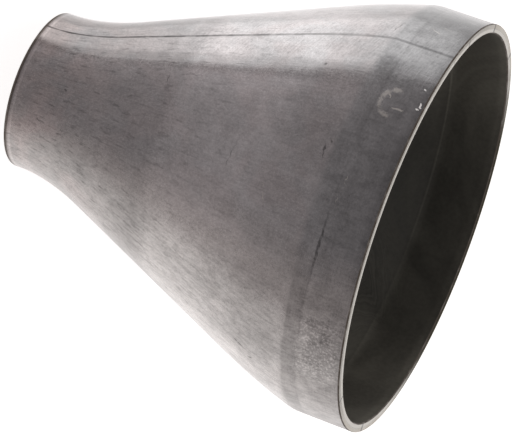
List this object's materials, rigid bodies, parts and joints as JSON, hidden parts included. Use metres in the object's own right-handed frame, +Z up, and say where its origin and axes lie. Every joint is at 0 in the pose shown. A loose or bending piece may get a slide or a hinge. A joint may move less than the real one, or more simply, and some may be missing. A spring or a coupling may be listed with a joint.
{
  "type": "eccentric reducer",
  "caption": "Eccentric butt-weld pipe reducer: an open thin-walled oblique steel cone, flat along one side, that joins a large pipe to a small one while keeping one side in line.",
  "frame": {"origin": "on the ground under the middle of the object's bounding box, as it lies at rest on its steep side", "axes": "+Z up, +X towards the small end, Y across. The pipe axis lies in the XZ plane and points 40.7 degrees nose-down from +X towards the small end. The flat side faces up"},
  "size_m": [0.1518, 0.1142, 0.0986],
  "materials": {
    "stainless_steel": "satin mill finish, ground lengthwise",
    "weld_metal": "ground flush, slightly darker"
  },
  "bodies": {
    "root": {"reducer_shell": "stainless_steel", "seam_weld": "weld_metal"}
  },
  "joints": []
}
